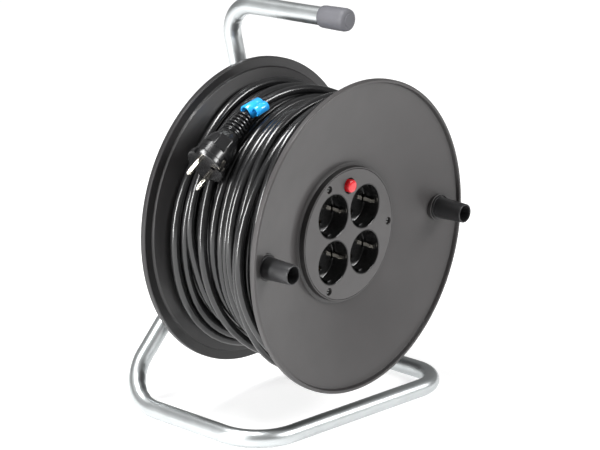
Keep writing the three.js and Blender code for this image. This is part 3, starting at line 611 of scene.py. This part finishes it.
def make_front_flange():
    profile = [(58.6, 42.7), (64, 43), *LIP, (105, under(105), 0), (133, under(133), 0.6), *RIM,
               *dish_rings((132, 126, 112, 106, 98, 88, 78, 70)), (64.4, 46.1, 1.5), (61.5, 46.6, 0.8),
               (61.1, 51.9, 0.3), (60.9, 52.1, 0.2), (60.0, 52.1, 0.2), (60.0, 49.2, 0.1), (58.6, 49.2)]
    obj = turned("dished_front", mirrored(profile), "drum", ("front_flange",), segments=200)
    pads, pockets = [], []
    for side in (-1, 1):
        spot = placed(side * PEG_X)
        pads.append(tool_spin(rounded([(0, -57), (12.7, -57, 0), (12.7, -60.6, 0.5), (0, -60.6)]), spot, 64))
        pockets.append(tool_spin(rounded([(0, -70), (11.5, -70, 0), (11.5, -60, 0.3), (0, -60)]), spot, 64))
    carve(obj, pads, "UNION")
    carve(obj, pockets)


def make_rear_flange():
    profile = [(7.2, 13), (15, 13, 0.5), (17, 40, 1), (22, 43, 1), (64, 43, 0), *LIP, (100, under(100), 0),
               (133, under(133), 0.6), *RIM, *dish_rings((125, 110, 95, 80, 70)), (64, 46, 4), (19, 46, 1.5),
               (16, 49, 1), (15, 62.5, 0.6), (7.2, 62.5)]
    obj = turned("dished_rear", profile, "drum", ("rear_flange",), segments=200)
    # The rear flange takes the darker copy of the flange plastic, which is painted shade.
    obj.data.materials[0] = MATERIALS["rear_plastic_painted_shade"]
    holes = []
    for x, z in TIE_SPOTS:
        holes.append(tool_spin([(0, 47.47), (5, 47.47), (5, 80), (0, 80)], placed(x, 0, z), 40))
        holes.append(tool_bar(2.6, 30, 60, placed(x, 0, z), 24))
    carve(obj, holes)
    bm = bmesh.new()
    outline = [(14.6, 44.5), (64, 44.5), (131, dish(131) - 1.5), (131, dish(131) - 0.3),
               (108.8, dish(108.8) + 3), (64, 53), (14.6, 59.5)]
    for i in range(8):
        turn = Matrix.Rotation(math.radians(22.5 + 45 * i), 3, "Y")
        prism(bm, outline, 1, placed(turn=turn))
    bmesh.ops.bevel(bm, geom=bm.edges[:], offset=0.35 * MM, segments=2, profile=0.5, affect="EDGES")
    ribs = piece("rear_ribs", bm, "drum", ("rear_flange",), merge=False)
    # Its ribs take the same darker copy, which is painted shade.
    ribs.data.materials[0] = MATERIALS["rear_plastic_painted_shade"]


make_front_flange()
make_rear_flange()


# ---------------------------------------------------------------- socket face
SOCKETS = [(-21.5, 21.5), (21.5, 21.5), (-21.5, -21.5), (21.5, -21.5)]
SCREWS = [polar(54.5, degrees) for degrees in (0, 120, 240)]
PLATE_Y = -52.3
PLATE_HALF = 1.4  # half its thickness
PLATE_EDGE = 0.4
BUTTON_Z = 45.2
PIN_OFFSET = 9.5  # from the middle of a socket or the plug to each pin
PIN_LENGTH = 19


def make_plate():
    """A flat plate with round openings, every edge rounded."""
    data = bpy.data.curves.new("plate", "CURVE")
    data.dimensions = "2D"
    data.fill_mode = "BOTH"
    data.extrude = (PLATE_HALF - PLATE_EDGE) * MM
    data.bevel_depth, data.offset, data.bevel_resolution = PLATE_EDGE * MM, -PLATE_EDGE * MM, 2

    def circle(x, z, radius, count):
        spline = data.splines.new("POLY")
        spline.points.add(count - 1)
        for k, point in enumerate(spline.points):
            a = 2 * math.pi * k / count
            point.co = ((x + radius * math.cos(a)) * MM, (z + radius * math.sin(a)) * MM, 0, 1)
        spline.use_cyclic_u = True

    circle(0, 0, 59.7, 160)
    for x, z in SOCKETS:
        circle(x, z, 20.45, 96)
    circle(0, BUTTON_Z, 7.2, 48)
    for x, z in SCREWS:
        circle(x, z, 3.4, 32)
    source = bpy.data.objects.new("plate", data)
    bpy.context.collection.objects.link(source)
    mesh = bpy.data.meshes.new_from_object(source.evaluated_get(bpy.context.evaluated_depsgraph_get()))
    bpy.data.objects.remove(source)
    bm = bmesh.new()
    bm.from_mesh(mesh)
    bpy.data.meshes.remove(mesh)
    bm.transform(Matrix.Translation(at(0, PLATE_Y + PLATE_HALF, 0)) @ Matrix.Rotation(math.pi / 2, 4, "X"))
    for x, z in SCREWS:
        seat = [(3.35, 1), (3.35, 3.6), (0, 3.6), (0, 6), (3.9, 6), (3.9, 1)]
        spin(bm, rounded([(radius, PLATE_Y + y) for radius, y in seat]), 32, placed(x, 0, z))
    face = piece("socket_face", bm, "drum", ("socket_plate",))
    for polygon in face.data.polygons:
        polygon.use_smooth = abs(polygon.normal.y) < 0.999


def make_insert(number, x, z):
    spot = placed(x, PLATE_Y, z)
    profile = [(0, 17.5), (19.5, 17.5, 0.8), (19.4, 1.5, 0.5), (19.75, 0.3, 0.3), (20.2, 0.05, 0.25),
               (20.2, 3.2), (21, 3.2), (21, 20), (0, 20)]
    obj = turned(f"socket_well_{number}", profile, "drum", (f"socket_insert_{number}",), spot, 96)
    ribs = []
    for side in (-1, 1):
        ribs.append(tool_box((-2.6, 4.6, side * 18.7 - 1.5), (2.6, 18, side * 18.7 + 1.5), spot, 0.5))
        shield = tool_spin(rounded([(0, 16.9), (4.6, 16.9, 0.4), (5.4, 18, 0.1), (0, 18)]),
                           placed(x, PLATE_Y, z + side * PIN_OFFSET), 40)
        ribs.append(shield)
    carve(obj, ribs, "UNION")
    cuts = []
    for side in (-1, 1):
        cuts.append(tool_spin([(0, 10), (3.3, 10), (3.3, 16.9), (2.7, 17.7), (2.7, 30), (0, 30)],
                              placed(x, PLATE_Y, z + side * PIN_OFFSET), 32))
        cuts.append(tool_box((side * 17.6 - 1.5, 10, -3.7), (side * 17.6 + 1.5, 30, 3.7), spot))
    carve(obj, cuts)


def make_earth_strap(number, x, z):
    """A bent spring strip up each side of a recess."""
    spot = placed(x, PLATE_Y, z)
    line = [(17.6, 20.6), (17.55, 12), (17.2, 10.4), (16.2, 8.2), (15.9, 7.4), (16.3, 6.4), (17.3, 4),
            (17.4, 3.5)]
    bm = bmesh.new()
    points = [(-a, b) for a, b in reversed(line)] + [(0, 20.6)] + line
    outline = []
    for i, point in enumerate(points):
        a, b = Vector(points[max(0, i - 1)]), Vector(points[min(len(points) - 1, i + 1)])
        outline.append((Vector(point), (b - a).normalized().orthogonal() * 0.4))
    prism(bm, [p + n for p, n in outline] + [p - n for p, n in reversed(outline)], 1.6, spot)
    piece(f"earth_spring_{number}", bm, "drum", (f"earth_strap_{number}",))


def screw(name, node, body, spot, facing, head, shank, tip, slot=None):
    """A cross-slotted screw. facing is -1 where its head looks to the front; tip is where its shank ends."""
    bm = bmesh.new()
    top = 2.0
    profile = [(0, tip), (shank, tip, 0.2), (shank, 0, 0), (head, 0, 0.2), (head, facing * 1.1, 0.5),
               (head * 0.72, facing * top * 0.9, 0.8), (0, facing * top)]
    spin(bm, rounded(profile), 40, spot)
    obj = piece(name, bm, body, (node,), slot)
    cuts = []
    for turn in (0.3, 0.3 + math.pi / 2):
        matrix = spot @ Matrix.Rotation(turn, 4, "Y")
        low, high = sorted((facing * 0.6, facing * 3))
        cuts.append(tool_box((-head * 0.55, low, -0.4), (head * 0.55, high, 0.4), matrix))
    carve(obj, cuts)


def make_button():
    spot = placed(0, PLATE_Y, BUTTON_Z)
    profile = [(0, -4.2), (3.4, -4.1, 1.2), (5.4, -3.5, 1.0), (5.9, -2.2, 0.8), (5.9, 8.5), (0, 8.5)]
    turned("button_top", profile, "button", ("reset_button",), spot, 64)


make_plate()
for index, (socket_x, socket_z) in enumerate(SOCKETS, 1):
    make_insert(index, socket_x, socket_z)
    make_earth_strap(index, socket_x, socket_z)
for index, (screw_x, screw_z) in enumerate(SCREWS, 1):
    screw(f"face_screw_{index}", f"plate_screw_{index}", "drum", placed(screw_x, PLATE_Y + 3.3, screw_z), -1,
          3.0, 1.2, 14.5, "gloss_black")
for index, (hole_x, hole_z) in enumerate(TIE_SPOTS, 1):
    screw(f"long_screw_{index}", f"tie_screw_{index}", "drum", placed(hole_x, 47.8, hole_z), 1, 4.4, 2.0, -92)
make_button()


# ---------------------------------------------------------------- winding pegs
def make_pegs():
    hollow = [(4.9, -75), (7.4, -75, 0.6), (7.35, -90.2, 0.3), (7.9, -91, 0.4), (8.5, -91, 0.5),
              (8.85, -90.2, 0.5), (9.0, -86, 0), (9.9, -63.6, 0.3), (10, -62, 0.3), (4.9, -62)]
    pin = [(0, -77.4), (5.4, -77.4, 0.5), (6.4, -76.2, 0.4), (6.4, -75.3), (4.6, -75.3, 0.1),
           (4.6, -61.7, 0.1), (10.8, -61.7, 0.5), (10.8, -60.3), (3.5, -60.3), (3.5, -57.4), (0, -57.4)]
    for name, side in (("left", -1), ("right", 1)):
        spot = placed(side * PEG_X)
        turned(f"peg_sleeve_{name}", hollow, f"{name}_peg", (f"winding_peg_{name}",), spot, 72)
        turned(f"peg_stem_{name}", pin, "drum", (f"peg_pin_{name}",), spot, 56)


make_pegs()


# ---------------------------------------------------------------- stand
TUBE_R = 8.25
TUBE_CORNERS = [(0, -47.5, 194), (0, 96, 191), (25, 81, 36), (-120, 123, -166), (-120, -50, -166),
                (119, -75, -166), (119, 110, -166)]
BEND_RADII = [32, 45, 39, 44, 33]
WRINKLE = 0.22
WRINKLES = 6
BEND_FLATTENING = 0.25


def bent_path(corners, radii, bend_steps, spacing):
    """Points along straights joined by round bends, and for each the way through its bend and to its inside."""
    corners = [Vector(c) for c in corners]
    points, bends = [], []
    previous = corners[0]
    for i in range(1, len(corners)):
        if i < len(corners) - 1:
            back = (corners[i - 1] - corners[i]).normalized()
            ahead = (corners[i + 1] - corners[i]).normalized()
            half = back.angle(ahead) / 2
            radius = radii[i - 1]
            start = corners[i] + back * (radius / math.tan(half))
            centre = corners[i] + (back + ahead).normalized() * (radius / math.sin(half))
        else:
            start, radius = corners[i], 0
        count = max(1, round((start - previous).length / spacing))
        for k in range(count):
            points.append(previous.lerp(start, k / count))
            bends.append(None)
        if not radius:
            points.append(start)
            bends.append(None)
            break
        sweep_angle = math.pi - 2 * half
        axis = back.cross(ahead).normalized()
        for k in range(bend_steps + 1):
            t = k / bend_steps
            arm = Matrix.Rotation(-sweep_angle * t, 3, axis) @ (start - centre)
            points.append(centre + arm)
            bends.append((t, -arm.normalized()))
        previous = points[-1]
        points.pop()
        bends.pop()
    return points, bends


def make_tube():
    points, bends = bent_path(TUBE_CORNERS, BEND_RADII, 36, 14)

    def wrinkle(i, direction):
        if bends[i] is None:
            return 0
        t, inward = bends[i]
        side = max(0, direction.dot(inward))
        window = math.sin(math.pi * t)
        ripple = WRINKLE * math.sin(t * 2 * math.pi * WRINKLES) * side ** 2 * window
        return (ripple - BEND_FLATTENING * window * abs(direction.dot(inward)) ** 2) * MM

    bm = bmesh.new()
    sweep(bm, [at(*p) for p in points], [TUBE_R * MM] * len(points), 48, wrinkle)
    piece("bent_tube", bm, "stand", ("frame_tube",), angle=60)
    (_, y0, z0), (_, y1, z1) = TUBE_CORNERS[:2]
    rise = math.atan2(z0 - z1, y1 - y0)
    cap = [(0, -3.6), (5.7, -3.6, 0.5), (6.2, -2.9, 0.3), (7.4, -2.8, 0.4), (9.5, -1.9, 1.6), (10.3, 1.6, 2),
           (10.25, 10, 0), (9.95, 24.6, 0.6), (9.6, 27, 0.8), (8.3, 27, 0.1), (8.3, -0.3), (0, -0.3)]
    cap_spot = placed(*TUBE_CORNERS[0], Matrix.Rotation(-rise, 3, "X"))
    turned("grip_cap", cap, "stand", ("handle_cap",), cap_spot, 72)
    foot = [(0, -18), (5.4, -18), (6.4, -15, 0.3), (6.4, 0.3, 0.1), (8.0, 0.3, 0.2), (8.0, 2.2, 0.8),
            (6.2, 4.2, 0.8), (0, 4.6)]
    turned("foot_cap", foot, "stand", ("foot_plug",), placed(*TUBE_CORNERS[-1]), 48)


def make_axle():
    """The bolt's hexagon head and the nut have turned-down corners."""
    corner = 9.58
    for name, node, y0, y1, facing, inner in (("hex_bolt", "axle_bolt", 101.5, 108, 1, 8.4),
                                              ("hex_nut", "lock_nut", 1.6, 9.6, -1, 8.6)):
        bm = bmesh.new()
        spin(bm, [(0, y0), (corner, y0), (corner, y1), (0, y1)], 6, placed())
        obj = piece(name, bm, "stand", (node,))
        cap_y, base_y = (y1, y0) if facing > 0 else (y0, y1)
        taper = [(0, base_y - facing * 2), (corner + 2, base_y - facing * 2), (corner + 1, cap_y - facing * 2.4),
                 (inner, cap_y), (0, cap_y + facing * 0.15)]
        cone = tool_spin(taper, placed(), 64)
        carve(obj, [cone], "INTERSECT")
        if facing > 0:
            carve(obj, [tool_bar(5, -0.6, 103, placed(), 40)], "UNION")
        else:
            carve(obj, [tool_bar(5.3, -5, 15, placed(), 40)])


make_tube()
make_axle()


# ---------------------------------------------------------------- plug
def plug_matrix():
    """Y along the plug to its pins, X from one pin to the other, and the face the pins stand on at zero."""
    forward = (PLUG_TIP - PLUG_TAIL).normalized()
    across = (PLUG_PIN_LINE - forward * PLUG_PIN_LINE.dot(forward)).normalized()
    turn = Matrix((across, forward, across.cross(forward))).transposed()
    return placed(*(PLUG_TIP - forward * PIN_LENGTH), turn)


def make_shell(spot):
    """The plug's body, with its rim notches, finger grooves and the framed window on each side."""
    profile = [(0, -40), (8.9, -40, 0.6), (10.2, -36, 2), (14.4, -28, 4), (16.4, -18, 4), (16.7, -6.6, 0.5),
               (17.1, -5.8, 0.5), (18.5, -5.2, 0.5), (18.5, -0.9, 0.7), (17.6, 0, 0.4), (0, 0)]
    shell = turned("plug_shell", profile, "drum", ("plug_body",), spot, 96)
    diagonal = spot @ Matrix.Rotation(math.radians(45), 4, "Y")
    cuts, frames = [], []
    for side in (-1, 1):
        cuts.append(tool_box((-3.0, -12, side * 17.4 - 2.2), (3.0, 1, side * 17.4 + 2.2), spot))
        cuts.append(tool_box((side * 17.8 - 1.7, -12, -2.8), (side * 17.8 + 1.7, 1, 2.8), spot))
        cuts.append(tool_box((-4.4, -26.5, side * 15.6 - 3.6), (4.4, -16.5, side * 15.6 + 3.6), diagonal, 0.4))
        frames.append(tool_box((-6, -28.5, side * 15 - 2.2), (6, -14.6, side * 15 + 2.2), diagonal, 0.6))
        for y in (-26, -22, -18):
            cuts.append(tool_box((side * 17.4 - 2, y, -7), (side * 17.4 + 2, y + 1.6, 7), spot, 0.4))
        cuts.append(tool_bar(2.7, -8, 1, spot @ Matrix.Translation((side * PIN_OFFSET, 0, 0)), 32))
    cuts.append(tool_bar(2.5, -14, 1, spot @ Matrix.Translation((0, 0, -9.8)), 32))
    carve(shell, frames, "UNION")
    carve(shell, cuts)
    return shell


def make_contacts(spot):
    """Each pin and the earth contact beside it."""
    made = []
    pin = [(0, -7.6), (2.4, -7.6), (2.4, 16.8, 1.4), (0.8, PIN_LENGTH, 0.9), (0, PIN_LENGTH)]
    for number, side in ((1, -1), (2, 1)):
        pin_spot = spot @ Matrix.Translation((side * PIN_OFFSET, 0, 0))
        made.append(turned(f"pin_{number}", pin, "drum", (f"plug_pin_{number}",), pin_spot, 40, steps=6))
        blade = tool_box((-1.9, -11.2, side * 15.7 - 0.3), (1.9, -1.2, side * 15.7 + 0.3), spot, 0.25)
        made.append(piece(f"earth_blade_{number}", blade, "drum", (f"plug_earth_contact_{number}",)))
    return made


def make_relief(spot):
    """The ribbed sleeve behind the plug, with a slot in each rib on two sides."""
    ribs, slots = [], []
    count, start, length = 6, -40.3, 25
    pitch = (length - 1.6) / count
    for i in range(count):
        r = 10.2 - 2.2 * i / (count - 1)
        y = start - 1.2 - i * pitch
        ribs += [(r - 2.4, y, 0.2), (r, y - 0.2, 0.5), (r - 0.2, y - 2.0, 0.5), (r - 2.4, y - 2.3, 0.2)]
        for side in (-1, 1):
            middle = side * (r + 0.2)
            slots.append(tool_box((-1.9, y - 2.6, middle - 1.7), (1.9, y + 0.3, middle + 1.7), spot))
    relief = [(0, start), (9.4, start), (9.4, start - 0.9, 0.3), *ribs, (5.6, start - length + 0.6, 0.5),
              (5.2, start - length, 0.3), (0, start - length)]
    relief.reverse()
    sleeve = turned("relief_sleeve", relief, "drum", ("plug_strain_relief",), spot, 56, angle=50)
    carve(sleeve, slots)
    return sleeve


def make_plug():
    spot = plug_matrix()
    return [make_shell(spot), *make_contacts(spot), make_relief(spot)]


CLIP_DISTANCE = 9.6  # along the cord, from the plug's end of it
CLIP_R = 6.05
CLIP_HALF = 0.85


def make_clip():
    """A sprung ring round the cord with a hook that reaches over its neighbour."""
    points = [p.co.xyz for p in reversed(CORD.data.splines[0].points)]
    left = CLIP_DISTANCE * MM
    for end, start in zip(points, points[1:]):
        if (end - start).length >= left:
            break
        left -= (end - start).length
    forward = (end - start).normalized()
    centre = end - forward * left
    outward = centre - AXLE
    outward.y = 0
    outward = (outward - forward * outward.dot(forward)).normalized()
    sideways = forward.cross(outward).normalized()
    front = -1 if sideways.y > 0 else 1
    turn = Matrix((sideways, forward, outward)).transposed().to_4x4()
    spot = Matrix.Translation(centre) @ turn @ Matrix.Scale(MM, 4)
    ring = [polar(CLIP_R, degrees) for degrees in range(-62, 241, 10)]
    bm = bmesh.new()
    strip(bm, ring, CLIP_HALF, (-9, 9), spot)
    arm = [(5.6, 1.8), (7.4, 4.6), (9.8, 6.6), (12.6, 6.2), (14.2, 4.0), (13.9, 1.2), (12.4, -0.4)]
    arm = [(front * x, z) for x, z in arm]
    strip(bm, arm, CLIP_HALF, (-7, 7), spot)
    return piece("cord_clip", bm, "drum", ("plug_clip",), angle=50, merge=False)


def strip(bm, line, half, span, matrix):
    """A strip of even thickness along a line in the X-Z plane, with rounded long edges."""
    line = [Vector(p) for p in line]
    rows = []
    for i, p in enumerate(line):
        along_line = (line[min(len(line) - 1, i + 1)] - line[max(0, i - 1)]).normalized()
        normal = Vector((-along_line.y, along_line.x)) * half
        y0, y1 = span
        section = [(p + normal * 0.5, y0), (p + normal, y0 + 0.5), (p + normal, y1 - 0.5), (p + normal * 0.5, y1),
                   (p - normal * 0.5, y1), (p - normal, y1 - 0.5), (p - normal, y0 + 0.5), (p - normal * 0.5, y0)]
        rows.append([bm.verts.new(matrix @ Vector((q.x, y, q.y))) for q, y in section])
    for row, other in zip(rows, rows[1:]):
        for k in range(8):
            bm.faces.new((row[k], row[(k + 1) % 8], other[(k + 1) % 8], other[k]))
    bm.faces.new(rows[0])
    bm.faces.new(rows[-1])


PLUG_PIECES = make_plug()
CLIP = make_clip()


# ---------------------------------------------------------------- CAD nodes that keep their shape
KEPT = ["axle_spacer", "saddle_washer", "thrust_washer", "axle_sleeve", "retaining_washer", "drum_core",
        "contact_housing", "thermal_cutout", "button_spring", "line_bus_bar", "neutral_bus_bar", "inner_lead",
        "cord_grommet", "cord_clamp", "clamp_screw_1", "clamp_screw_2", "terminal_block"]
for node in KEPT:
    shape = frame["nodes"][node].data
    shape.materials.clear()
    shape.materials.append(MATERIALS[SLOT_OF[node]])


# ---------------------------------------------------------------- floor and light
FLOOR_TONE = 0.6
FLOOR_GLOW = 0.62
WORLD_LIGHT = 0.22
# Each lamp's name, place in metres, size and power.
LAMPS = [("key", (0.9, -2.1, 1.5), (1.2, 0.8), 54),
         ("top", (-0.5, 0.25, 2.0), (0.9, 0.5), 40),
         ("left", (-2.2, 0.3, 0.75), (0.3, 1.7), 75)]


def make_stage():
    bpy.ops.mesh.primitive_plane_add(size=12, location=(0, 3, 0))
    floor = bpy.context.object
    floor.name = "floor"
    mat = bpy.data.materials.new("floor")
    mat.use_nodes = True
    shader = mat.node_tree.nodes["Principled BSDF"]
    shader.inputs["Base Color"].default_value = (FLOOR_TONE, FLOOR_TONE, FLOOR_TONE, 1)
    shader.inputs["Roughness"].default_value = 0.9
    shader.inputs["Emission Color"].default_value = (1, 1, 1, 1)
    shader.inputs["Emission Strength"].default_value = FLOOR_GLOW
    floor.data.materials.append(mat)
    world = bpy.data.worlds.new("world")
    world.use_nodes = True
    world.node_tree.nodes["Background"].inputs["Color"].default_value = (1, 1, 1, 1)
    world.node_tree.nodes["Background"].inputs["Strength"].default_value = WORLD_LIGHT
    bpy.context.scene.world = world
    for name, place, size, power in LAMPS:
        data = bpy.data.lights.new(name, "AREA")
        data.shape = "RECTANGLE"
        data.size, data.size_y = size
        data.energy = power
        lamp = bpy.data.objects.new(name, data)
        place = Vector(place)
        facing = (AXLE - place).to_track_quat("-Z", "Y")
        lamp.matrix_world = Matrix.Translation(place) @ facing.to_matrix().to_4x4()
        bpy.context.collection.objects.link(lamp)
    bpy.context.scene.view_settings.view_transform = "Standard"


make_stage()
